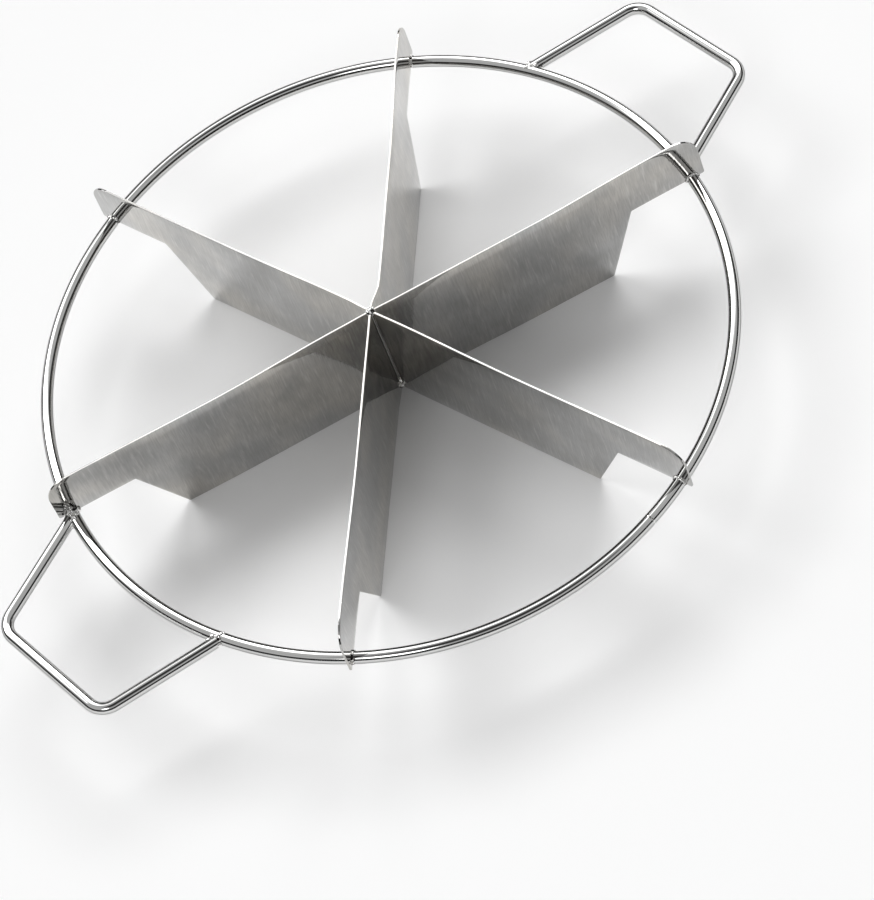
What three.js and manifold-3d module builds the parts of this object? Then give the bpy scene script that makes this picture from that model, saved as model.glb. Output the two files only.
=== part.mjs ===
// Cake portion marker: a round wire ring with two wire handles and six upright sheet blades.
// The blades are three strips, each folded to a V, whose folds meet and are welded at the middle.
// Each blade's arm sits over the ring wire in a notch and is welded there on both faces.
// Millimetres, +Z up. The origin is on the ring's axis, in the plane of the blades' lower edges,
// and +X runs along the line through the two handles.

import * as THREE from 'three';
import { mergeVertices } from 'three/addons/utils/BufferGeometryUtils.js';
import Module from 'manifold-3d';

const wasm = await Module();
wasm.setup();

// Ring and its wire.
const WIRE_DIAMETER = 4.5;
const RING_RADIUS = 130; // axis to the wire's centreline
const RING_JOINT_ANGLE = 272; // degrees, where the ring's two ends are butt welded
const RING_JOINT_GAP = 1.6; // between those two ends

// Handles, bent from the same wire.
const HANDLE_ANGLES = { right: 0, left: 180 }; // degrees
const HANDLE_REACH = 41.5; // ring's centreline to the grip bar's centreline
const HANDLE_GRIP = 55; // grip bar, between the corners of its centreline
const HANDLE_SPREAD = 82; // between the two feet, on the ring's centreline
const HANDLE_BEND_RADIUS = 8; // centreline of each bend

// Blades.
const STRIPS = ['right', 'rear', 'left'];
const BLADE_FROM_FOOT = 3.3; // along the ring, from a handle's foot to the blade beside it
const BLADE_THICKNESS = 0.8;
const BLADE_RISE = 21.3; // ring's centreline up to the blades' top edges
const BLADE_DEPTH = 29.2; // ring's centreline down to the blades' lower edges
const FOLD_RADIUS = 1.4; // inside of each strip's fold
const ARM_LENGTH = 26; // arm's inner corner to the ring's centreline
const STEP_RUN = 13.6; // how far the slanted step under the arm runs
const TIP_LAND = 2.6; // metal left outside the notch
const TIP_RAKE = 0.5; // how far the blade's end leans in at its top
const TIP_ROUND = 9; // rounding of the blade's top outer corner

// Welds. They keep a small gap to the pieces they join, as all touching pieces here do.
const FIT_GAP = 0.3;
const BLADE_WELD_RADIUS = 2;
const FOOT_WELD_RADIUS = 3.4;
const RING_WELD_CROWN = 0.15; // how far the butt weld stands proud of the wire
const HUB_WELD_DEPTH = 5;
const HUB_CAP_LAP = 0.4; // how far the top weld laps past the folds
const HUB_CAP_HEIGHT = 0.8;

// Facets of the round shapes.
const WIRE_SIDES = 12;
const RING_STEPS = 96;
const HANDLE_STEPS = 48;
const ROUND_STEPS = 6;
const BEAD_SIDES = 12;
const TRIM_MARGIN = 2; // how far a cutting shape runs past what it cuts

// Values worked out from the sizes above.
const wireRadius = WIRE_DIAMETER / 2;
const keepOutRadius = wireRadius + FIT_GAP;
const bladeHeight = BLADE_DEPTH + BLADE_RISE;
const bladeCount = 2 * STRIPS.length;
const bladePitch = 2 * Math.PI / bladeCount;
const foldHalfAngle = bladePitch / 2;
const foldMiddleRadius = FOLD_RADIUS + BLADE_THICKNESS / 2;
const foldCentre = foldMiddleRadius / Math.sin(foldHalfAngle);
const hubClearRadius = foldCentre - foldMiddleRadius - BLADE_THICKNESS / 2;
const tipRadius = RING_RADIUS + keepOutRadius + TIP_LAND;
const footAngle = Math.asin(HANDLE_SPREAD / 2 / RING_RADIUS);
const firstBladeAngle = -footAngle - BLADE_FROM_FOOT / RING_RADIUS;
const bladeAngles = Array.from({ length: bladeCount }, (_, index) => firstBladeAngle + index * bladePitch);

const { degToRad } = THREE.MathUtils;

// A plain circular arc in a level plane.
class Arc extends THREE.Curve {
  constructor(centre, radius, startAngle, endAngle) {
    super();
    Object.assign(this, { centre, radius, startAngle, endAngle });
  }

  getPoint(t) {
    const angle = THREE.MathUtils.lerp(this.startAngle, this.endAngle, t);
    const outward = new THREE.Vector3(Math.cos(angle), Math.sin(angle), 0);
    return outward.multiplyScalar(this.radius).add(this.centre);
  }
}

// Solids for cutting and joining.
function solidOf(geometry) {
  const bare = geometry.clone();
  bare.deleteAttribute('normal');
  bare.deleteAttribute('uv');
  const merged = mergeVertices(bare);
  const vertProperties = new Float32Array(merged.attributes.position.array);
  const triVerts = new Uint32Array(merged.index.array);
  return new wasm.Manifold(new wasm.Mesh({ numProp: 3, vertProperties, triVerts }));
}

function geometryOf(solid) {
  const mesh = solid.getMesh();
  const geometry = new THREE.BufferGeometry();
  geometry.setAttribute('position', new THREE.BufferAttribute(mesh.vertProperties, 3));
  geometry.setIndex(new THREE.BufferAttribute(mesh.triVerts, 1));
  geometry.computeVertexNormals();
  return geometry;
}

function roundBarAlong(path, steps, radius) {
  const section = new THREE.Shape();
  section.absarc(0, 0, radius, 0, 2 * Math.PI);
  const settings = { extrudePath: path, steps, curveSegments: WIRE_SIDES / 2, bevelEnabled: false };
  return new THREE.ExtrudeGeometry(section, settings);
}

// A full ring of round section about the Z axis: the space that the ring wire needs.
function ringSpaceSolid() {
  const circle = new THREE.EllipseCurve(RING_RADIUS, 0, keepOutRadius, keepOutRadius);
  const profile = circle.getPoints(WIRE_SIDES);
  return solidOf(new THREE.LatheGeometry(profile, RING_STEPS).rotateX(Math.PI / 2));
}

const ringSpace = ringSpaceSolid();

function bead(radius, x, y, z) {
  return solidOf(new THREE.SphereGeometry(radius, BEAD_SIDES, BEAD_SIDES / 2).translate(x, y, z));
}

// Ring wire, open at its butt joint.
function ringWire() {
  const joint = degToRad(RING_JOINT_ANGLE);
  const halfGap = RING_JOINT_GAP / 2 / RING_RADIUS;
  const path = new Arc(new THREE.Vector3(), RING_RADIUS, joint + halfGap, joint + 2 * Math.PI - halfGap);
  return roundBarAlong(path, RING_STEPS, wireRadius);
}

// Weld metal between the ring's ends, slightly crowned, lying along +Y.
function ringButtWeld() {
  const halfLength = RING_JOINT_GAP / 2 - FIT_GAP;
  const profile = [
    new THREE.Vector2(0, -halfLength),
    new THREE.Vector2(wireRadius, -halfLength),
    new THREE.Vector2(wireRadius + RING_WELD_CROWN, 0),
    new THREE.Vector2(wireRadius, halfLength),
    new THREE.Vector2(0, halfLength),
  ];
  return new THREE.LatheGeometry(profile, WIRE_SIDES);
}

// Handle in its own frame, with the grip bar across +X.
const gripX = RING_RADIUS + HANDLE_REACH;
const foot = new THREE.Vector3(RING_RADIUS * Math.cos(footAngle), HANDLE_SPREAD / 2, 0);
const corner = new THREE.Vector3(gripX, HANDLE_GRIP / 2, 0);
const legDirection = corner.clone().sub(foot).normalize();
const legAngle = Math.atan2(legDirection.y, legDirection.x);
const bendAngle = Math.PI / 2 + legAngle;

function handlePath() {
  const setback = HANDLE_BEND_RADIUS * Math.tan(bendAngle / 2);
  const legEnd = corner.clone().addScaledVector(legDirection, -setback);
  const barStart = new THREE.Vector3(gripX, corner.y - setback, 0);
  const bendCentre = new THREE.Vector3(gripX - HANDLE_BEND_RADIUS, barStart.y, 0);
  const mirror = (point) => new THREE.Vector3(point.x, -point.y, 0);
  const path = new THREE.CurvePath();
  path.add(new THREE.LineCurve3(mirror(foot), mirror(legEnd)));
  path.add(new Arc(mirror(bendCentre), HANDLE_BEND_RADIUS, -bendAngle, 0));
  path.add(new THREE.LineCurve3(mirror(barStart), barStart));
  path.add(new Arc(bendCentre, HANDLE_BEND_RADIUS, 0, bendAngle));
  path.add(new THREE.LineCurve3(legEnd, foot));
  return path;
}

function handleWire() {
  const bent = solidOf(roundBarAlong(handlePath(), HANDLE_STEPS, wireRadius));
  return geometryOf(bent.subtract(ringSpace));
}

// Weld collar round one foot, clear of the beads on the blade beside it.
// The side is 1 or -1 across the handle.
function footWeld(side) {
  const inset = wireRadius / Math.cos(footAngle - legAngle);
  const seat = foot.clone().addScaledVector(legDirection, inset);
  const sideOf = (point) => new THREE.Vector3(point.x, side * point.y, 0);
  const leg = roundBarAlong(new THREE.LineCurve3(sideOf(foot), sideOf(corner)), 1, keepOutRadius);
  let collar = bead(FOOT_WELD_RADIUS, seat.x, side * seat.y, 0).subtract(solidOf(leg)).subtract(ringSpace);
  const beadSpace = BLADE_WELD_RADIUS + BLADE_THICKNESS / 2 + FIT_GAP;
  for (const angle of bladeAngles) {
    const x = RING_RADIUS * Math.cos(angle);
    const y = RING_RADIUS * Math.sin(angle);
    collar = collar.subtract(bead(beadSpace, x, y, wireRadius));
  }
  return geometryOf(collar);
}

// Strip in its own frame: the V opens along +X, and both blades' middle planes pass through the axis.
function stripPlan() {
  const along = new THREE.Vector2(Math.cos(foldHalfAngle), Math.sin(foldHalfAngle));
  const across = new THREE.Vector2(-along.y, along.x);
  const length = tipRadius + TRIM_MARGIN;
  const half = BLADE_THICKNESS / 2;
  const outerEnd = along.clone().multiplyScalar(length).addScaledVector(across, half);
  const innerEnd = along.clone().multiplyScalar(length).addScaledVector(across, -half);
  const arcStart = Math.PI / 2 + foldHalfAngle;
  const arcEnd = 2 * Math.PI - arcStart;
  const plan = new THREE.Shape();
  plan.moveTo(outerEnd.x, outerEnd.y);
  plan.absarc(foldCentre, 0, foldMiddleRadius + half, arcStart, arcEnd, false);
  plan.lineTo(outerEnd.x, -outerEnd.y);
  plan.lineTo(innerEnd.x, -innerEnd.y);
  plan.absarc(foldCentre, 0, FOLD_RADIUS, arcEnd, arcStart, true);
  plan.lineTo(innerEnd.x, innerEnd.y);
  plan.closePath();
  return plan;
}

// What is cut from a blade's outer part, drawn in the blade's own plane,
// with the radius along x and the height along y.
function bladeTrim() {
  const armInner = RING_RADIUS - ARM_LENGTH;
  const stepSlope = STEP_RUN / BLADE_DEPTH;
  const endAngle = Math.atan2(TIP_RAKE, BLADE_RISE);
  const roundSetback = TIP_ROUND * Math.tan((Math.PI / 2 - endAngle) / 2);
  const roundCentreX = tipRadius - TIP_RAKE - roundSetback;
  const outer = tipRadius + 2 * TRIM_MARGIN;
  const trim = new THREE.Shape();
  trim.moveTo(armInner - STEP_RUN - stepSlope * TRIM_MARGIN, -TRIM_MARGIN);
  trim.lineTo(armInner, BLADE_DEPTH);
  trim.absarc(RING_RADIUS, BLADE_DEPTH, keepOutRadius, Math.PI, 0, true);
  trim.lineTo(tipRadius, BLADE_DEPTH);
  trim.absarc(roundCentreX, bladeHeight - TIP_ROUND, TIP_ROUND, endAngle, Math.PI / 2, false);
  trim.lineTo(roundCentreX, bladeHeight + TRIM_MARGIN);
  trim.lineTo(outer, bladeHeight + TRIM_MARGIN);
  trim.lineTo(outer, -TRIM_MARGIN);
  trim.closePath();
  return trim;
}

function foldedStrip() {
  const planSettings = { depth: bladeHeight, curveSegments: ROUND_STEPS, bevelEnabled: false };
  let strip = solidOf(new THREE.ExtrudeGeometry(stripPlan(), planSettings));
  const trimWidth = BLADE_THICKNESS + 2 * TRIM_MARGIN;
  const trimSettings = { depth: trimWidth, curveSegments: ROUND_STEPS, bevelEnabled: false };
  for (const angle of [foldHalfAngle, -foldHalfAngle]) {
    const trim = new THREE.ExtrudeGeometry(bladeTrim(), trimSettings);
    trim.rotateX(Math.PI / 2).translate(0, trimWidth / 2, 0).rotateZ(angle);
    strip = strip.subtract(solidOf(trim));
  }
  return geometryOf(strip);
}

// Weld bead on one face of a blade, over the ring wire.
// The blade lies along +X, and the side is 1 or -1 along Y.
function bladeWeld(side) {
  const size = 4 * BLADE_WELD_RADIUS;
  const face = side * (BLADE_THICKNESS / 2 + FIT_GAP);
  const bladeSide = new THREE.BoxGeometry(size, size, size);
  bladeSide.translate(RING_RADIUS, face - side * size / 2, wireRadius);
  const lump = bead(BLADE_WELD_RADIUS, RING_RADIUS, side * BLADE_THICKNESS / 2, wireRadius);
  return geometryOf(lump.subtract(solidOf(bladeSide)).subtract(ringSpace));
}

// Hub welds: plugs between the three folds, the top one with a low domed cap.
const plugRadius = hubClearRadius - FIT_GAP;

function hubWeldTop() {
  const seat = bladeHeight + FIT_GAP;
  const capRadius = hubClearRadius + BLADE_THICKNESS + HUB_CAP_LAP;
  const profile = [
    new THREE.Vector2(0, bladeHeight - HUB_WELD_DEPTH),
    new THREE.Vector2(plugRadius, bladeHeight - HUB_WELD_DEPTH),
    new THREE.Vector2(plugRadius, seat),
    new THREE.Vector2(capRadius, seat),
  ];
  for (let step = 1; step <= ROUND_STEPS; step += 1) {
    const angle = Math.PI / 2 * step / ROUND_STEPS;
    const radius = step < ROUND_STEPS ? capRadius * Math.cos(angle) : 0;
    profile.push(new THREE.Vector2(radius, seat + HUB_CAP_HEIGHT * Math.sin(angle)));
  }
  return new THREE.LatheGeometry(profile, BEAD_SIDES).rotateX(Math.PI / 2);
}

function hubWeldBottom() {
  const profile = [
    new THREE.Vector2(0, FIT_GAP),
    new THREE.Vector2(plugRadius, FIT_GAP),
    new THREE.Vector2(plugRadius, HUB_WELD_DEPTH),
    new THREE.Vector2(0, HUB_WELD_DEPTH),
  ];
  return new THREE.LatheGeometry(profile, BEAD_SIDES).rotateX(Math.PI / 2);
}

// Finishes.
const wireSteel = () => new THREE.MeshStandardMaterial({ color: 0xe2e2e0, roughness: 0.12, metalness: 1 });
const bladeSteel = () => new THREE.MeshStandardMaterial({ color: 0xb4b1ac, roughness: 0.22, metalness: 1 });
const weldSteel = () => new THREE.MeshStandardMaterial({ color: 0xc9c6c0, roughness: 0.35, metalness: 1 });

function piece(parent, name, geometry, material, angle = 0) {
  const mesh = new THREE.Mesh(geometry, material);
  mesh.name = name;
  mesh.rotation.z = angle;
  parent.add(mesh);
  return mesh;
}

// Assembly. What belongs to the ring stands at the ring's height.
const marker = new THREE.Group();
const ringLevel = new THREE.Group();
ringLevel.position.z = BLADE_DEPTH;
marker.add(ringLevel);

piece(ringLevel, 'ring_wire', ringWire(), wireSteel());
const jointAngle = degToRad(RING_JOINT_ANGLE);
const buttWeld = piece(ringLevel, 'ring_butt_weld', ringButtWeld(), weldSteel(), jointAngle);
buttWeld.position.set(RING_RADIUS * Math.cos(jointAngle), RING_RADIUS * Math.sin(jointAngle), 0);

const handle = handleWire();
const footWelds = { 1: footWeld(-1), 2: footWeld(1) };
for (const [name, degrees] of Object.entries(HANDLE_ANGLES)) {
  const angle = degToRad(degrees);
  piece(ringLevel, `handle_${name}`, handle, wireSteel(), angle);
  for (const [number, weld] of Object.entries(footWelds)) {
    piece(ringLevel, `handle_${name}_weld_${number}`, weld, weldSteel(), angle);
  }
}

const strip = foldedStrip();
const faceWelds = { 1: bladeWeld(-1), 2: bladeWeld(1) };
STRIPS.forEach((name, index) => {
  const firstBlade = firstBladeAngle + (2 * index - 1) * bladePitch;
  const blades = { a: firstBlade, b: firstBlade + bladePitch };
  piece(marker, `blade_strip_${name}`, strip, bladeSteel(), firstBlade + foldHalfAngle);
  for (const [blade, angle] of Object.entries(blades)) {
    for (const [number, weld] of Object.entries(faceWelds)) {
      piece(ringLevel, `blade_weld_${name}_${blade}_${number}`, weld, weldSteel(), angle);
    }
  }
});

piece(marker, 'hub_weld_top', hubWeldTop(), weldSteel());
piece(marker, 'hub_weld_bottom', hubWeldBottom(), weldSteel());

export default marker;
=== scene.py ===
"""Looks of the cake portion marker: polished wire, bright sheet blades and their welds, on a pale floor.

Metres, +Z up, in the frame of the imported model. The blades' lower edges lie in the plane z = 0.
"""

import math
import random

import bmesh
import bpy
from mathutils import Matrix, Vector, noise


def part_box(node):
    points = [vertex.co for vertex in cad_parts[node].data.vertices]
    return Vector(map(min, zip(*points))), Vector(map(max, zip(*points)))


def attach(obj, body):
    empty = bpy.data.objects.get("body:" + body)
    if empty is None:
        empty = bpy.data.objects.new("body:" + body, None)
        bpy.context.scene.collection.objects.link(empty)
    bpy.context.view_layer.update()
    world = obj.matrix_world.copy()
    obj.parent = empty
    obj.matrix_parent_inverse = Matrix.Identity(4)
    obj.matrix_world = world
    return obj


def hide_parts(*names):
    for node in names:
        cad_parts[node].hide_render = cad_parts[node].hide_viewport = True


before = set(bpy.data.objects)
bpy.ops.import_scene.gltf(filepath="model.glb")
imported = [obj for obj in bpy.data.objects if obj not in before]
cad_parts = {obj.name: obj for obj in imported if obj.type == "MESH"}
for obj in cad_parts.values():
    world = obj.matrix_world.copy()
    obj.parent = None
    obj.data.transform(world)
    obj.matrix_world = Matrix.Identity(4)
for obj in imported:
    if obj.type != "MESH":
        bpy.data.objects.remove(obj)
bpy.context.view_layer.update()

MM = 0.001

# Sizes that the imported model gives.
ring_low, ring_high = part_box("ring_wire")
wire_radius = (ring_high.z - ring_low.z) / 2
ring_level = (ring_high.z + ring_low.z) / 2
ring_reach = max(math.hypot(v.co.x, v.co.y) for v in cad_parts["ring_wire"].data.vertices)
ring_radius = ring_reach - wire_radius
blade_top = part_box("blade_strip_rear")[1].z
grip_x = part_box("handle_right")[1].x - wire_radius

# The other sizes, as the solids have them.
RING_JOINT_ANGLE = math.radians(272)
HANDLES = {"right": 0.0, "left": math.pi}
HANDLE_GRIP = 55 * MM
HANDLE_SPREAD = 82 * MM
HANDLE_BEND_RADIUS = 8 * MM
STRIPS = ("right", "rear", "left")
BLADE_FROM_FOOT = 3.3 * MM
BLADE_THICKNESS = 0.8 * MM
ARM_LENGTH = 26 * MM
STEP_RUN = 13.6 * MM
TIP_LAND = 2.6 * MM
TIP_RAKE = 0.5 * MM
TIP_ROUND = 9 * MM
FIT_GAP = 0.3 * MM

# The two blades of a strip, and the two faces or feet that the welds are numbered by, each with its side.
BLADE_SIDES = {"a": -1, "b": 1}
WELD_SIDES = {"1": -1, "2": 1}

# Fine shapes that only the looks need.
FOLD_RADIUS = 0.5 * MM
EDGE_ROUND = 0.14 * MM
CORNER_ROUND = 0.8 * MM
NOTCH_ROUND = 0.25 * MM
NOTCH_CLEARANCE = 0.08 * MM
BUTT_SEAM = 0.6 * MM
BUTT_SWELL = 0.05 * MM

# How finely the meshes are divided.
EDGE_STEPS = 3
FOLD_STEPS = 20
ARC_STEP = math.radians(7.5)
ARC_LEAST_STEPS = 2
COLUMN_STEP = 3 * MM
COLUMN_LEAST_STEP = 0.02 * MM
FACE_ROWS = 10
WIRE_SIDES = 40
RING_STEPS = 480
BEND_STEPS = 24
BUTT_STEPS = 8

# The least that a corner's mitre is divided by, so that a sharp corner isn't moved too far.
MITRE_LIMIT = 0.5

# How far each blade, bent by hand, strays sideways in millimetres (counter-clockwise is positive): at three
# distances from the axis, along its top edge and then along its lower edge.
STRAY_RADII = (12 * MM, 65 * MM, 120 * MM)
BLADE_STRAY = {
    ("right", "a"): ((0.1, -0.6, -0.3), (-0.1, -0.2, -0.2)),
    ("right", "b"): ((-0.2, -0.2, 1.4), (-0.8, -1.7, -2.0)),
    ("rear", "a"): ((-2.2, -1.7, -0.2), (-0.7, -0.4, 0.1)),
    ("rear", "b"): ((-0.4, 0.3, 0.5), (0.2, 0.4, 0.6)),
    ("left", "a"): ((0.2, 1.8, 1.3), (0.7, 1.0, 0.3)),
    ("left", "b"): ((0.1, 0.4, -0.2), (-0.5, -0.8, -0.9)),
}

# How each handle, set by hand, strays: its turn about its own middle and its shift in plan.
HANDLE_STRAY = {
    "right": (math.radians(-0.7), Vector((-0.15 * MM, 0.8 * MM, 0))),
    "left": (0.0, Vector((0, 0.6 * MM, 0))),
}

# Values worked out from the sizes above.
blade_pitch = math.pi / len(STRIPS)
fold_half_angle = blade_pitch / 2
fold_middle_radius = FOLD_RADIUS + BLADE_THICKNESS / 2
fold_centre = fold_middle_radius / math.sin(fold_half_angle)
fold_half_length = fold_middle_radius * (math.pi / 2 - fold_half_angle)
leg_start = fold_centre * math.cos(fold_half_angle)
tip_radius = ring_radius + wire_radius + FIT_GAP + TIP_LAND
foot_angle = math.asin(HANDLE_SPREAD / 2 / ring_radius)
first_blade_angle = -foot_angle - BLADE_FROM_FOOT / ring_radius
foot = Vector((ring_radius * math.cos(foot_angle), HANDLE_SPREAD / 2))
grip_corner = Vector((grip_x, HANDLE_GRIP / 2))
leg_direction = (grip_corner - foot).normalized()


# Mesh helpers.
def add_object(name, mesh, material, slot, *replaced):
    """A finished piece of the object: it rides on the one body and stands for the named solids."""
    mesh.materials.append(material)
    obj = bpy.data.objects.new(name, mesh)
    bpy.context.scene.collection.objects.link(obj)
    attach(obj, "root")
    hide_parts(*replaced)


def mesh_from(name, points, faces, smooth):
    """A mesh from points and faces. smooth holds one flag for each face."""
    mesh = bpy.data.meshes.new(name)
    mesh.from_pydata(points, [], faces)
    mesh.polygons.foreach_set("use_smooth", smooth)
    mesh.update()
    return mesh


def smooth_step(low, high, value):
    """A soft rise from 0 at low to 1 at high."""
    t = min(1, max(0, (value - low) / (high - low)))
    return t * t * (3 - 2 * t)


def arc_points(centre, radius, start, end, steps):
    """Points of a plan arc, with both ends."""
    angles = [start + (end - start) * i / steps for i in range(steps + 1)]
    return [centre + radius * Vector((math.cos(a), math.sin(a))) for a in angles]


def rounded_corners(corners):
    """An open outline through corners given as (x, y, radius), with an arc at each corner that has one."""
    outline = []
    for i, (x, y, radius) in enumerate(corners):
        point = Vector((x, y))
        if radius == 0:
            outline.append(point)
            continue
        back = (Vector(corners[i - 1][:2]) - point).normalized()
        ahead = (Vector(corners[i + 1][:2]) - point).normalized()
        half = back.angle(ahead) / 2
        centre = point + (back + ahead).normalized() * radius / math.sin(half)
        start = point + back * radius / math.tan(half) - centre
        end = point + ahead * radius / math.tan(half) - centre
        turn = start.angle_signed(end)
        steps = max(ARC_LEAST_STEPS, math.ceil(abs(turn) / ARC_STEP))
        for k in range(steps + 1):
            outline.append(centre + Matrix.Rotation(-turn * k / steps, 2) @ start)
    return outline


def inset(outline, distance):
    """A closed outline, counter-clockwise, moved inwards by distance."""
    moved = []
    count = len(outline)
    for i, point in enumerate(outline):
        before = (point - outline[i - 1]).normalized()
        after = (outline[(i + 1) % count] - point).normalized()
        left_before = Vector((-before.y, before.x))
        left_after = Vector((-after.y, after.x))
        mitre = left_before + left_after
        mitre /= max(MITRE_LIMIT, mitre.dot(left_before))
        moved.append(point + mitre * distance)
    return moved


# Wire pieces: round bars along level paths.
def wire_points(path, swell):
    """Points of a round bar along plan points at the ring's level: a circle of them at each plan point."""
    points = []
    last = len(path) - 1
    for i, place in enumerate(path):
        along = (path[min(i + 1, last)] - path[max(i - 1, 0)]).normalized()
        across = Vector((-along.y, along.x))
        radius = wire_radius + (swell[i] if swell else 0)
        for k in range(WIRE_SIDES):
            angle = 2 * math.pi * k / WIRE_SIDES
            spot = place - across * radius * math.cos(angle)
            points.append((spot.x, spot.y, ring_level + radius * math.sin(angle)))
    return points


def wire_mesh(name, path, swell=None):
    """A round bar along plan points, with flat ends and its length and girth as UV.

    swell holds how much thicker the bar's radius is at each point.
    """
    points = wire_points(path, swell)
    faces, smooth, spots = [], [], []
    last = len(path) - 1
    length = 0
    for i in range(last):
        step = (path[i + 1] - path[i]).length
        here = i * WIRE_SIDES
        ahead = here + WIRE_SIDES
        for k in range(WIRE_SIDES):
            following = (k + 1) % WIRE_SIDES
            faces.append((here + k, here + following, ahead + following, ahead + k))
            smooth.append(True)
            low, high = k / WIRE_SIDES, (k + 1) / WIRE_SIDES
            spots += [(length, low), (length, high), (length + step, high), (length + step, low)]
        length += step
    for first, order in ((0, -1), (last * WIRE_SIDES, 1)):
        cap = len(points)
        points += points[first:first + WIRE_SIDES]
        faces.append(tuple(range(cap, cap + WIRE_SIDES))[::order])
        smooth.append(False)
    mesh = mesh_from(name, points, faces, smooth)
    layer = mesh.uv_layers.new(name="girth")
    for corner, spot in zip(layer.data, spots):
        corner.uv = spot
    return mesh


def ring_path():
    """Plan points of the ring, from one side of its butt seam round to the other."""
    half_seam = BUTT_SEAM / 2 / ring_radius
    start = RING_JOINT_ANGLE + half_seam
    end = RING_JOINT_ANGLE + 2 * math.pi - half_seam
    return arc_points(Vector((0, 0)), ring_radius, start, end, RING_STEPS)


def butt_mesh():
    """The ground weld between the ring's two ends: a short bar, a little thicker in its middle."""
    half_seam = BUTT_SEAM / 2 / ring_radius
    start = RING_JOINT_ANGLE - half_seam
    end = RING_JOINT_ANGLE + half_seam
    path = arc_points(Vector((0, 0)), ring_radius, start, end, BUTT_STEPS)
    swell = [BUTT_SWELL * math.sin(math.pi * i / BUTT_STEPS) for i in range(BUTT_STEPS + 1)]
    return wire_mesh("butt", path, swell)


def handle_spot(name, point):
    """A point of a handle, as drawn on the +X side without strays, taken to its place on the named one."""
    turn, shift = HANDLE_STRAY[name]
    middle = Vector(((foot.x + grip_x) / 2, 0, 0))
    moved = middle + Matrix.Rotation(turn, 3, "Z") @ (point - middle)
    return Matrix.Rotation(HANDLES[name], 3, "Z") @ moved + shift


def handle_path(name):
    """Plan points of one handle, from foot to foot."""
    bend = math.pi / 2 + math.atan2(leg_direction.y, leg_direction.x)
    setback = HANDLE_BEND_RADIUS * math.tan(bend / 2)
    bend_centre = Vector((grip_x - HANDLE_BEND_RADIUS, grip_corner.y - setback))
    half = [foot] + arc_points(bend_centre, HANDLE_BEND_RADIUS, bend, 0, BEND_STEPS)
    mirrored = [Vector((p.x, -p.y)) for p in reversed(half)]
    return [handle_spot(name, p.to_3d()).to_2d() for p in half + mirrored]


# Blade strips: one flat outline, bent in the middle.
def blade_outline():
    """One blade from the fold's lower end round its tip to the fold's upper end, as (radius, height)."""
    notch = wire_radius + NOTCH_CLEARANCE
    arm_inner = ring_radius - ARM_LENGTH
    return rounded_corners([
        (leg_start, 0, 0),
        (arm_inner - STEP_RUN, 0, CORNER_ROUND),
        (arm_inner, ring_level, CORNER_ROUND),
        (ring_radius - notch, ring_level, NOTCH_ROUND),
        (ring_radius - notch, ring_level + notch, notch),
        (ring_radius + notch, ring_level + notch, notch),
        (ring_radius + notch, ring_level, NOTCH_ROUND),
        (tip_radius, ring_level, CORNER_ROUND),
        (tip_radius - TIP_RAKE, blade_top, TIP_ROUND),
        (leg_start, blade_top, 0),
    ])


def height_at(outline, radius):
    """Height of an outline, ordered by radius, at one radius."""
    for near, far in zip(outline, outline[1:]):
        if near.x <= radius <= far.x and far.x > near.x:
            return near.y + (far.y - near.y) * (radius - near.x) / (far.x - near.x)
    return outline[-1].y


def blade_columns():
    """Upright columns of one blade, outwards, as (radius, lower, upper), and its outermost point."""
    outline = blade_outline()
    end = max(range(len(outline)), key=lambda i: outline[i].x)
    lower = outline[:end + 1]
    upper = list(reversed(outline[end:]))
    reach = outline[end].x
    steps = math.ceil((reach - leg_start) / COLUMN_STEP)
    radii = {leg_start + (reach - leg_start) * (i / steps) for i in range(steps)}
    radii |= {p.x for p in outline if leg_start < p.x < reach}
    ordered = []
    for radius in sorted(radii):
        if not ordered or radius - ordered[-1] > COLUMN_LEAST_STEP:
            ordered.append(radius)
    columns = [(radius, height_at(lower, radius), height_at(upper, radius)) for radius in ordered]
    return columns, outline[end]


def stray(strip, blade, radius, height):
    """How far a point of a blade lies to the side of its true plane."""
    sides = []
    for values in BLADE_STRAY[strip, blade]:
        near, middle, far = (value * MM for value in values)
        inner, centre, outer = STRAY_RADII
        if radius < centre:
            sides.append(near + (middle - near) * smooth_step(inner, centre, radius))
        else:
            sides.append(middle + (far - middle) * smooth_step(centre, outer, radius))
    share = height / blade_top
    return (sides[1] + (sides[0] - sides[1]) * share) * smooth_step(leg_start, STRAY_RADII[0], radius)


def strip_heading(strip):
    """Azimuth halfway between a strip's two blades."""
    return first_blade_angle + (2 * STRIPS.index(strip) - 0.5) * blade_pitch


def strip_point(strip, length, height, offset):
    """A point of the folded strip: length from the fold's middle, height, and offset to its outer side."""
    side = 1 if length > 0 else -1
    if abs(length) < fold_half_length:
        angle = math.pi - length / fold_middle_radius
        outward = Vector((math.cos(angle), math.sin(angle)))
        place = Vector((fold_centre, 0)) + outward * fold_middle_radius
    else:
        radius = leg_start + abs(length) - fold_half_length
        outward = Vector((-math.sin(fold_half_angle), side * math.cos(fold_half_angle)))
        place = radius * Vector((math.cos(fold_half_angle), side * math.sin(fold_half_angle)))
        place += outward * side * stray(strip, "b" if side > 0 else "a", radius, height)
    place += outward * offset
    return Matrix.Rotation(strip_heading(strip), 3, "Z") @ Vector((place.x, place.y, height))


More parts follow.
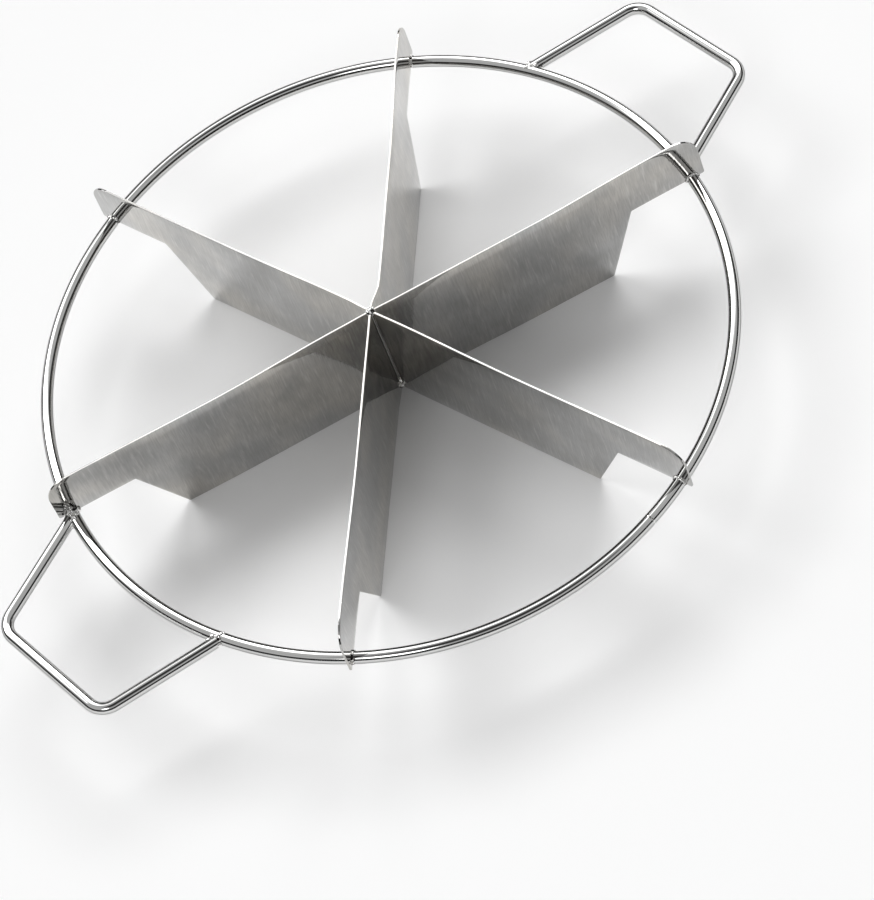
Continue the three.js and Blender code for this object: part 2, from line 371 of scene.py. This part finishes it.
def strip_outline():
    """The flat strip's closed outline of (length, height), with the index of both ends of each column."""
    columns, tip = blade_columns()
    shift = fold_half_length - leg_start
    fold = [(fold_half_length * (2 * i / FOLD_STEPS - 1), 0, blade_top) for i in range(FOLD_STEPS + 1)]
    right = [(radius + shift, low, high) for radius, low, high in columns[1:]]
    left = [(-length, low, high) for length, low, high in reversed(right)]
    whole = left + fold + right
    outline = [Vector((length, low)) for length, low, high in whole]
    outline.append(Vector((tip.x + shift, tip.y)))
    outline += [Vector((length, high)) for length, low, high in reversed(whole)]
    outline.append(Vector((-tip.x - shift, tip.y)))
    last = len(outline) - 2
    pairs = [(i, last - i) for i in range(len(whole))]
    return outline, pairs


def sheet_faces(strip, points, first, loop, pairs, offset):
    """Faces of one side of a strip: rows between the two ends of each column, and a fan at each tip.

    The side's rim is loop, whose points start at first; the rows' points are added to points.
    """
    grid = []
    for low, high in pairs:
        column = [first + low]
        for row in range(1, FACE_ROWS):
            spot = loop[low].lerp(loop[high], row / FACE_ROWS)
            column.append(len(points))
            points.append(strip_point(strip, spot.x, spot.y, offset))
        grid.append(column + [first + high])
    faces = []
    for here, ahead in zip(grid, grid[1:]):
        faces += [(here[j], ahead[j], ahead[j + 1], here[j + 1]) for j in range(FACE_ROWS)]
    start = first + len(loop) - 1
    end = first + len(pairs)
    faces += [(start, grid[0][j], grid[0][j + 1]) for j in range(FACE_ROWS)]
    faces += [(grid[-1][j], end, grid[-1][j + 1]) for j in range(FACE_ROWS)]
    return faces


def edge_layers():
    """Steps over a strip's rounded edge, from one face to the other: how far in, and how far to the side."""
    half = BLADE_THICKNESS / 2
    layers = []
    for k in range(EDGE_STEPS + 1):
        angle = math.pi / 2 * k / EDGE_STEPS
        layers.append((EDGE_ROUND * (1 - math.sin(angle)), half - EDGE_ROUND * (1 - math.cos(angle))))
    return layers + [(moved, -offset) for moved, offset in reversed(layers)]


def strip_mesh(strip):
    """A folded strip: its rounded edge all round, and the two faces of the sheet."""
    outline, pairs = strip_outline()
    count = len(outline)
    layers = edge_layers()
    loops = [inset(outline, moved) for moved, offset in layers]
    points = []
    for loop, (moved, offset) in zip(loops, layers):
        points += [strip_point(strip, p.x, p.y, offset) for p in loop]
    rim = []
    last = len(layers) - 1
    for layer in range(last):
        here, ahead = layer * count, (layer + 1) * count
        for i in range(count):
            following = (i + 1) % count
            rim.append((here + i, ahead + i, ahead + following, here + following))
    front = sheet_faces(strip, points, 0, loops[0], pairs, layers[0][1])
    back = sheet_faces(strip, points, last * count, loops[last], pairs, layers[last][1])
    sheets = front + [tuple(reversed(face)) for face in back]
    return mesh_from("strip", points, rim + sheets, [False] * len(rim) + [True] * len(sheets))


# Welds: heaps of small blobs that melt together.
WELD_GRAIN = 0.13 * MM
WELD_SMOOTHING = 4
WELD_UNEVEN = 0.07 * MM
WELD_UNEVEN_SIZE = 0.9 * MM
BLOB_SUBDIVISIONS = 2
BLOB_GROWTH = (0.88, 1.14)


def melted_mesh(blobs):
    """One closed lump from overlapping blobs, each a centre and a radius."""
    heap = bmesh.new()
    for centre, radius in blobs:
        place = Matrix.Translation(centre)
        bmesh.ops.create_icosphere(heap, subdivisions=BLOB_SUBDIVISIONS, radius=radius, matrix=place)
    raw = bpy.data.meshes.new("blobs")
    heap.to_mesh(raw)
    heap.free()
    melted = bpy.data.objects.new("blobs", raw)
    bpy.context.scene.collection.objects.link(melted)
    remesh = melted.modifiers.new("melt", "REMESH")
    remesh.mode = "VOXEL"
    remesh.voxel_size = WELD_GRAIN
    smooth = melted.modifiers.new("smooth", "SMOOTH")
    smooth.iterations = WELD_SMOOTHING
    evaluated = melted.evaluated_get(bpy.context.evaluated_depsgraph_get())
    mesh = bpy.data.meshes.new_from_object(evaluated)
    bpy.data.objects.remove(melted)
    bpy.data.meshes.remove(raw)
    return mesh


def weld_mesh(blobs):
    """Weld metal: a melted lump with a slightly uneven surface."""
    mesh = melted_mesh(blobs)
    normals = [vertex.normal.copy() for vertex in mesh.vertices]
    for vertex, normal in zip(mesh.vertices, normals):
        vertex.co += normal * WELD_UNEVEN * noise.noise(vertex.co / WELD_UNEVEN_SIZE)
    mesh.polygons.foreach_set("use_smooth", [True] * len(mesh.polygons))
    mesh.update()
    return mesh


def scattered(blobs, seed, shift):
    """The same blobs, each pushed and resized a little."""
    chance = random.Random(seed)
    result = []
    for centre, radius in blobs:
        push = Vector([chance.uniform(-shift, shift) for _ in range(3)])
        result.append((centre + push, radius * chance.uniform(*BLOB_GROWTH)))
    return result


# Welds of the handles' feet. Places are in wire radii from where the two centrelines meet: out along the
# handle's leg, across along the ring, and the rise above and below the ring's level. The middle blob's share
# is its radius, in wire radii too.
FOOT_SCATTER = 0.15 * MM
FOOT_MIDDLE_OUT = 0.5
FOOT_MIDDLE_SHARE = 0.9
# Each is (out, across, radius).
FOOT_CORNER_BLOBS = [
    (1.25, 0.95, 1.25 * MM),
    (1.5, 0.7, 1.2 * MM),
]
# This one is (out, across, rise, radius).
FOOT_SHOULDER_BLOB = (0.75, 0.6, 0.72, 1.05 * MM)
# Each is (out, rise, radius).
FOOT_CROWN_BLOBS = [
    (0.35, 0.86, 0.95 * MM),
    (-0.3, 0.9, 0.75 * MM),
    (-0.75, 0.68, 0.6 * MM),
]
# How far the weld of a handle's foot lies to one side of the foot, along the ring.
FOOT_WELD_LEAN = {("left", 1): -0.6 * MM}


def foot_blobs(name, side):
    """Weld between a handle's foot and the ring: heaped in both corners and over the two wires' tops."""
    along = Vector((leg_direction.x, side * leg_direction.y, 0))
    place = Vector((foot.x, side * foot.y, ring_level))
    tangent = Vector((-place.y, place.x, 0)).normalized()
    place += tangent * FOOT_WELD_LEAN.get((name, side), 0)
    r = wire_radius
    blobs = [(place + along * r * FOOT_MIDDLE_OUT, r * FOOT_MIDDLE_SHARE)]
    for turn in (-1, 1):
        for out, across, radius in FOOT_CORNER_BLOBS:
            blobs.append((place + along * r * out + tangent * turn * r * across, radius))
        out, across, rise, radius = FOOT_SHOULDER_BLOB
        spot = place + along * r * out + tangent * turn * r * across
        for up in (-1, 1):
            blobs.append((spot + Vector((0, 0, up * r * rise)), radius))
    for up in (-1, 1):
        for out, rise, radius in FOOT_CROWN_BLOBS:
            blobs.append((place + along * r * out + Vector((0, 0, up * r * rise)), radius))
    return [(handle_spot(name, centre), radius) for centre, radius in blobs]


# Beads of the blades on the ring: a row of blobs over the wire, up to BEAD_REACH to both sides of its top.
# They grow from BEAD_RADIUS at the top to BEAD_END_RADIUS at the ends, with a power of the way there. Their
# middles lie BEAD_LIFT off the wire, and BEAD_OUT of their own radius off the blade's face.
BEAD_SCATTER = 0.12 * MM
BEAD_SPOTS = 9
BEAD_RADIUS = 0.5 * MM
BEAD_END_RADIUS = 0.62 * MM
BEAD_END_POWER = 3
BEAD_REACH = math.radians(86)
BEAD_OUT = 0.35
BEAD_LIFT = 0.1 * MM
# The beads of one blade are messy: larger, and with lumps on the wire. A lump has its angle round the wire
# in degrees, its distance from the blade's face and its radius.
MESSY_BEAD = ("left", "a")
MESSY_SCATTER = 0.3 * MM
MESSY_BEAD_GROWTH = 1.6
MESSY_LUMPS = [
    (130, 1.3 * MM, 0.85 * MM),
    (95, 1.7 * MM, 0.95 * MM),
    (60, 1.4 * MM, 0.8 * MM),
    (112, 2.9 * MM, 0.75 * MM),
    (75, 3.2 * MM, 0.85 * MM),
    (100, 4.3 * MM, 0.6 * MM),
]


def bead_point(strip, blade, side, angle, distance):
    """A point on the ring wire by a blade: angle round the wire, distance from the blade's face."""
    leg = BLADE_SIDES[blade]
    reach = ring_radius + (wire_radius + BEAD_LIFT) * math.cos(angle)
    height = ring_level + (wire_radius + BEAD_LIFT) * math.sin(angle)
    length = leg * (reach - leg_start + fold_half_length)
    return strip_point(strip, length, height, side * leg * (BLADE_THICKNESS / 2 + distance))


def blade_blobs(strip, blade, side):
    """Weld on one face of a blade: a bead over the ring wire, a little thicker at the notch's corners."""
    messy = (strip, blade) == MESSY_BEAD
    growth = MESSY_BEAD_GROWTH if messy else 1
    blobs = []
    for i in range(BEAD_SPOTS):
        share = 2 * i / (BEAD_SPOTS - 1) - 1
        angle = math.pi / 2 + share * BEAD_REACH
        radius = (BEAD_RADIUS + (BEAD_END_RADIUS - BEAD_RADIUS) * abs(share) ** BEAD_END_POWER) * growth
        blobs.append((bead_point(strip, blade, side, angle, BEAD_OUT * radius), radius))
    if messy:
        for degrees, distance, radius in MESSY_LUMPS:
            blobs.append((bead_point(strip, blade, side, math.radians(degrees), distance), radius))
    return blobs


# Welds of the hub. Their blobs are in millimetres: a middle one as (rise, radius), and for each strip some
# as (reach, rise, radius). The reach is towards the strip's heading, or away from it if negative. The rise
# is from the blades' top edges for the upper weld, and from their lower edges for the lower one.
HUB_TOP_SCATTER = 0.1 * MM
HUB_TOP_MIDDLE = (0, 1.15)
HUB_TOP_BLOBS = [
    (1.2, -0.1, 0.8),
    (-1.2, -0.3, 0.9),
]
HUB_BOTTOM_SCATTER = 0.05 * MM
HUB_BOTTOM_MIDDLE = (1.4, 1.1)
HUB_BOTTOM_BLOBS = [
    (-1.5, 1.35, 1.15),
]


def hub_blobs(level, middle_blob, strip_blobs):
    """Weld where the three folds meet, at their upper or lower ends, which lie at level."""
    rise, radius = middle_blob
    blobs = [(Vector((0, 0, level + rise * MM)), radius * MM)]
    for strip in STRIPS:
        heading = strip_heading(strip)
        out = Vector((math.cos(heading), math.sin(heading), 0))
        for reach, rise, radius in strip_blobs:
            blobs.append((out * reach * MM + Vector((0, 0, level + rise * MM)), radius * MM))
    return blobs


# Materials: their colours, their roughness and the patterns on them. A noise pattern has its scale, its
# detail and the stretch of each axis. Its values keep near 0.5, so each use of it names the two values
# between which it takes effect, and what it gives at those two.
EVEN = (1, 1, 1)
FULL = (0, 1)

WIRE_DARK = (0.62, 0.62, 0.615)
WIRE_LIGHT = (0.74, 0.74, 0.73)
# Near-black edge tint: painted shade on the wire's rims, darkening its reflection where it is seen at a low
# angle.
WIRE_PAINTED_RIM_SHADE = (0.04, 0.04, 0.04)
WIRE_LINES = (1, 3, (14, 34, 1))
WIRE_LINE_VALUES = (0.35, 0.65)
WIRE_LINE_DEPTH = 0.012 * MM
WIRE_PATCHES = (1, 2, (90, 5, 1))
WIRE_PATCH_VALUES = (0.3, 0.7)
WIRE_ROUGHNESS = (0.045, 0.09)

BLADE_WARM = (0.62, 0.60, 0.565)
BLADE_COOL = (0.58, 0.582, 0.58)
BLADE_DARK = (0.32, 0.315, 0.305)
BLADE_LIGHT = (0.80, 0.79, 0.77)
BLADE_TINTS = (30, 2, EVEN)
BLADE_TINT_VALUES = (0.4, 0.6)
BLADE_CLOUDS = (60, 5, EVEN)
BLADE_CLOUD_VALUES = (0.35, 0.65)
BLADE_CLOUD_SHARE = (0, 0.45)
BLADE_GRAIN = (2300, 2, (1, 1, 0.06))
BLADE_GRAIN_VALUES = (0.35, 0.7)
BLADE_GRAIN_SHARE = (0, 0.4)
BLADE_GRAIN_DEPTH = 0.006 * MM
BLADE_STREAKS = (1000, 3, (1, 1, 0.1))
BLADE_STREAK_VALUES = (0.55, 0.75)
BLADE_STREAK_SHARE = (0, 0.4)
BLADE_WAVES = (26, 1, (1, 1, 0.6))
BLADE_WAVE_DEPTH = 0.35 * MM
BLADE_GLOSS_VALUES = (0.3, 0.7)
BLADE_ROUGHNESS = (0.045, 0.085)

WELD_BRIGHT = (0.95, 0.945, 0.93)
WELD_SCALE = (0.03, 0.028, 0.026)
WELD_RIPPLES = (1500, 2, EVEN)
WELD_RIPPLE_VALUES = (0.35, 0.65)
WELD_RIPPLE_DEPTH = 0.03 * MM
WELD_ROUGHNESS = (0.12, 0.35)
WELD_SPOTS = (620, 1, EVEN)
WELD_SPOT_VALUES = (0.57, 0.63)

FLOOR_WHITE = (0.95, 0.95, 0.95)
FLOOR_ROUGHNESS = 0.8


def node_material(name):
    """A new material with its node tree and its shader."""
    material = bpy.data.materials.new(name)
    material.use_nodes = True
    tree = material.node_tree
    return material, tree, tree.nodes["Principled BSDF"]


def noise_node(tree, vector, pattern):
    """Values of a noise pattern."""
    scale, detail, stretch = pattern
    mapping = tree.nodes.new("ShaderNodeMapping")
    mapping.inputs["Scale"].default_value = stretch
    tree.links.new(vector, mapping.inputs["Vector"])
    node = tree.nodes.new("ShaderNodeTexNoise")
    node.inputs["Scale"].default_value = scale
    node.inputs["Detail"].default_value = detail
    tree.links.new(mapping.outputs[0], node.inputs["Vector"])
    return node.outputs["Fac"]


def range_node(tree, value, source, target, interpolation="LINEAR"):
    """A value taken from the source range to the target range, and held at both ends."""
    node = tree.nodes.new("ShaderNodeMapRange")
    node.interpolation_type = interpolation
    node.inputs["From Min"].default_value, node.inputs["From Max"].default_value = source
    node.inputs["To Min"].default_value, node.inputs["To Max"].default_value = target
    tree.links.new(value, node.inputs["Value"])
    return node.outputs["Result"]


def mix_colours(tree, factor, first, second):
    """A mix of two colours, each given as a tuple or as another node's output."""
    node = tree.nodes.new("ShaderNodeMix")
    node.data_type = "RGBA"
    tree.links.new(factor, node.inputs["Factor"])
    for socket, value in ((node.inputs["A"], first), (node.inputs["B"], second)):
        if isinstance(value, tuple):
            socket.default_value = (*value, 1)
        else:
            tree.links.new(value, socket)
    return node.outputs["Result"]


def bump_node(tree, height, distance, normal=None):
    """A normal that follows a height pattern, over another normal if there is one."""
    node = tree.nodes.new("ShaderNodeBump")
    node.inputs["Distance"].default_value = distance
    tree.links.new(height, node.inputs["Height"])
    if normal is not None:
        tree.links.new(normal, node.inputs["Normal"])
    return node.outputs["Normal"]


def wire_steel():
    """Polished wire with fine lines along it from drawing. It has painted shade on its rims: a near-black
    edge tint darkens it where it is seen at a low angle.
    """
    material, tree, shader = node_material("wire_steel")
    spot = tree.nodes.new("ShaderNodeTexCoord").outputs["UV"]
    lines = noise_node(tree, spot, WIRE_LINES)
    patches = noise_node(tree, spot, WIRE_PATCHES)
    shader.inputs["Metallic"].default_value = 1
    # Painted shade on the rims: the near-black edge tint darkens the wire where it is seen at a low angle.
    shader.inputs["Specular Tint"].default_value = (*WIRE_PAINTED_RIM_SHADE, 1)
    tone = mix_colours(tree, range_node(tree, lines, WIRE_LINE_VALUES, FULL), WIRE_DARK, WIRE_LIGHT)
    tree.links.new(tone, shader.inputs["Base Color"])
    gloss = range_node(tree, patches, WIRE_PATCH_VALUES, WIRE_ROUGHNESS)
    tree.links.new(gloss, shader.inputs["Roughness"])
    tree.links.new(bump_node(tree, lines, WIRE_LINE_DEPTH), shader.inputs["Normal"])
    return material


def blade_steel():
    """Bright rolled sheet: fine upright grain, clouds with a warm or a cool tint, and a slight waviness."""
    material, tree, shader = node_material("blade_steel")
    place = tree.nodes.new("ShaderNodeTexCoord").outputs["Object"]
    tints = noise_node(tree, place, BLADE_TINTS)
    clouds = noise_node(tree, place, BLADE_CLOUDS)
    grain = noise_node(tree, place, BLADE_GRAIN)
    streaks = noise_node(tree, place, BLADE_STREAKS)
    waves = noise_node(tree, place, BLADE_WAVES)
    shader.inputs["Metallic"].default_value = 1
    tint_share = range_node(tree, tints, BLADE_TINT_VALUES, FULL)
    cloud_share = range_node(tree, clouds, BLADE_CLOUD_VALUES, BLADE_CLOUD_SHARE)
    grain_share = range_node(tree, grain, BLADE_GRAIN_VALUES, BLADE_GRAIN_SHARE)
    streak_share = range_node(tree, streaks, BLADE_STREAK_VALUES, BLADE_STREAK_SHARE)
    tint = mix_colours(tree, tint_share, BLADE_WARM, BLADE_COOL)
    cloudy = mix_colours(tree, cloud_share, tint, BLADE_DARK)
    grained = mix_colours(tree, grain_share, cloudy, BLADE_DARK)
    tone = mix_colours(tree, streak_share, grained, BLADE_LIGHT)
    tree.links.new(tone, shader.inputs["Base Color"])
    gloss = range_node(tree, grain, BLADE_GLOSS_VALUES, BLADE_ROUGHNESS)
    tree.links.new(gloss, shader.inputs["Roughness"])
    waviness = bump_node(tree, waves, BLADE_WAVE_DEPTH)
    tree.links.new(bump_node(tree, grain, BLADE_GRAIN_DEPTH, waviness), shader.inputs["Normal"])
    return material


def weld_steel():
    """Weld metal: bright where it was cleaned, with small black spots of scale."""
    material, tree, shader = node_material("weld_steel")
    place = tree.nodes.new("ShaderNodeTexCoord").outputs["Object"]
    ripples = noise_node(tree, place, WELD_RIPPLES)
    spots = noise_node(tree, place, WELD_SPOTS)
    shader.inputs["Metallic"].default_value = 1
    scale_share = range_node(tree, spots, WELD_SPOT_VALUES, FULL)
    tone = mix_colours(tree, scale_share, WELD_BRIGHT, WELD_SCALE)
    tree.links.new(tone, shader.inputs["Base Color"])
    gloss = range_node(tree, ripples, WELD_RIPPLE_VALUES, WELD_ROUGHNESS)
    tree.links.new(gloss, shader.inputs["Roughness"])
    tree.links.new(bump_node(tree, ripples, WELD_RIPPLE_DEPTH), shader.inputs["Normal"])
    return material


def floor_paint():
    """Plain matt white."""
    material, _, shader = node_material("floor_paint")
    shader.inputs["Base Color"].default_value = (*FLOOR_WHITE, 1)
    shader.inputs["Roughness"].default_value = FLOOR_ROUGHNESS
    return material


# The object.
wire_material = wire_steel()
blade_material = blade_steel()
weld_material = weld_steel()


def build_wires():
    add_object("ring", wire_mesh("ring", ring_path()), wire_material, "wire_steel", "ring_wire")
    for name in HANDLES:
        mesh = wire_mesh("handle", handle_path(name))
        add_object(f"{name}_handle", mesh, wire_material, "wire_steel", f"handle_{name}")


def build_strips():
    for name in STRIPS:
        add_object(f"{name}_strip", strip_mesh(name), blade_material, "blade_steel", f"blade_strip_{name}")


def add_weld(node, blobs, shift):
    """The weld that stands for one solid, with its blobs scattered in a way of its own."""
    mesh = weld_mesh(scattered(blobs, node, shift))
    add_object(f"bead_{node}", mesh, weld_material, "weld_steel", node)


def build_welds():
    add_object("bead_ring_butt_weld", butt_mesh(), weld_material, "weld_steel", "ring_butt_weld")
    add_weld("hub_weld_top", hub_blobs(blade_top, HUB_TOP_MIDDLE, HUB_TOP_BLOBS), HUB_TOP_SCATTER)
    add_weld("hub_weld_bottom", hub_blobs(0, HUB_BOTTOM_MIDDLE, HUB_BOTTOM_BLOBS), HUB_BOTTOM_SCATTER)
    for name in HANDLES:
        for number, side in WELD_SIDES.items():
            add_weld(f"handle_{name}_weld_{number}", foot_blobs(name, side), FOOT_SCATTER)
    for strip in STRIPS:
        for blade in BLADE_SIDES:
            shift = MESSY_SCATTER if (strip, blade) == MESSY_BEAD else BEAD_SCATTER
            for number, side in WELD_SIDES.items():
                add_weld(f"blade_weld_{strip}_{blade}_{number}", blade_blobs(strip, blade, side), shift)


build_wires()
build_strips()
build_welds()

# Floor, a hair's breadth under the blades' lower edges.
FLOOR_HALF = 4.0
FLOOR_DROP = 0.1 * MM


def build_floor():
    h = FLOOR_HALF
    corners = [(x, y, -FLOOR_DROP) for x, y in ((-h, -h), (h, -h), (h, h), (-h, h))]
    mesh = mesh_from("floor", corners, [(0, 1, 2, 3)], [False])
    mesh.materials.append(floor_paint())
    floor = bpy.data.objects.new("floor", mesh)
    bpy.context.scene.collection.objects.link(floor)


build_floor()

# Camera at the photograph's place: where it aims, its azimuth and elevation seen from there, and its roll.
CAMERA_AIM = Vector((-0.02108, -0.04873, 0.0292))
CAMERA_DISTANCE = 1.09678
CAMERA_AZIMUTH = math.radians(-116.0876)
CAMERA_ELEVATION = math.radians(56.3799)
CAMERA_ROLL = math.radians(-23.0998)
CAMERA_LENS = 122.224
CAMERA_SENSOR = 36


def build_camera():
    level = Vector((math.cos(CAMERA_AZIMUTH), math.sin(CAMERA_AZIMUTH), 0))
    back = level * math.cos(CAMERA_ELEVATION) + Vector((0, 0, math.sin(CAMERA_ELEVATION)))
    level_right = Vector((0, 0, 1)).cross(back).normalized()
    right = level_right * math.cos(CAMERA_ROLL) + back.cross(level_right) * math.sin(CAMERA_ROLL)
    axes = Matrix((right, back.cross(right), back)).transposed()
    data = bpy.data.cameras.new("camera")
    data.lens = CAMERA_LENS
    data.sensor_width = CAMERA_SENSOR
    camera = bpy.data.objects.new("camera", data)
    camera.matrix_world = Matrix.Translation(CAMERA_AIM + back * CAMERA_DISTANCE) @ axes.to_4x4()
    bpy.context.scene.collection.objects.link(camera)
    bpy.context.scene.camera = camera


build_camera()

# Light: a pale tent. It has two broad lamps and a small one at the back, a small one in front, a dark opening
# over the camera, and a dark band all round near the horizon. Each patch has its azimuth and elevation in
# degrees, the angles from its middle where it is full and where it ends, and its strength.
LIGHT_WHITE = (1, 1, 1)
TENT_LIGHT = 0.54
LAMPS = [
    (104, 35, 3, 25, 6.8),
    (36, 35, 3, 25, 6.8),
    (64, 57, 4, 11, 2.0),
    (211, 41, 7, 12, 3.6),
]
OPENINGS = [
    (244, 72, 12, 28, 0.92),
]
# The band: the elevation where it ends, the degrees over which it fades out below that, and its darkness.
BAND_TOP = 34
BAND_FADE = 8
BAND_DARK = 0.93


def direction_of(azimuth, elevation):
    """The unit vector towards a place in the sky."""
    a = math.radians(azimuth)
    e = math.radians(elevation)
    return (math.cos(a) * math.cos(e), math.sin(a) * math.cos(e), math.sin(e))


def math_node(tree, operation, first, second):
    """A sum, difference or product of two values, each given as a number or as another node's output."""
    node = tree.nodes.new("ShaderNodeMath")
    node.operation = operation
    for socket, value in zip(node.inputs, (first, second)):
        if isinstance(value, (int, float)):
            socket.default_value = value
        else:
            tree.links.new(value, socket)
    return node.outputs[0]


def sky_patch(tree, looking, azimuth, elevation, full, gone, strength):
    """A soft round patch of the sky: strength inside the full angle, nothing outside the gone angle."""
    towards = tree.nodes.new("ShaderNodeVectorMath")
    towards.operation = "DOT_PRODUCT"
    tree.links.new(looking, towards.inputs[0])
    towards.inputs[1].default_value = direction_of(azimuth, elevation)
    edge = (math.cos(math.radians(gone)), math.cos(math.radians(full)))
    return range_node(tree, towards.outputs["Value"], edge, (0, strength), "SMOOTHSTEP")


def studio_light():
    world = bpy.data.worlds.new("studio")
    bpy.context.scene.world = world
    world.use_nodes = True
    tree = world.node_tree
    background = tree.nodes["Background"]
    looking = tree.nodes.new("ShaderNodeTexCoord").outputs["Generated"]
    light = TENT_LIGHT
    for opening in OPENINGS:
        clear = math_node(tree, "SUBTRACT", 1, sky_patch(tree, looking, *opening))
        light = math_node(tree, "MULTIPLY", light, clear)
    for lamp in LAMPS:
        light = math_node(tree, "ADD", light, sky_patch(tree, looking, *lamp))
    parts = tree.nodes.new("ShaderNodeSeparateXYZ")
    tree.links.new(looking, parts.inputs[0])
    fade = [math.sin(math.radians(angle)) for angle in (BAND_TOP - BAND_FADE, BAND_TOP)]
    band = range_node(tree, parts.outputs["Z"], fade, (1 - BAND_DARK, 1), "SMOOTHSTEP")
    light = math_node(tree, "MULTIPLY", light, band)
    tree.links.new(light, background.inputs["Strength"])
    background.inputs["Color"].default_value = (*LIGHT_WHITE, 1)


studio_light()

bpy.context.scene.view_settings.view_transform = "Standard"
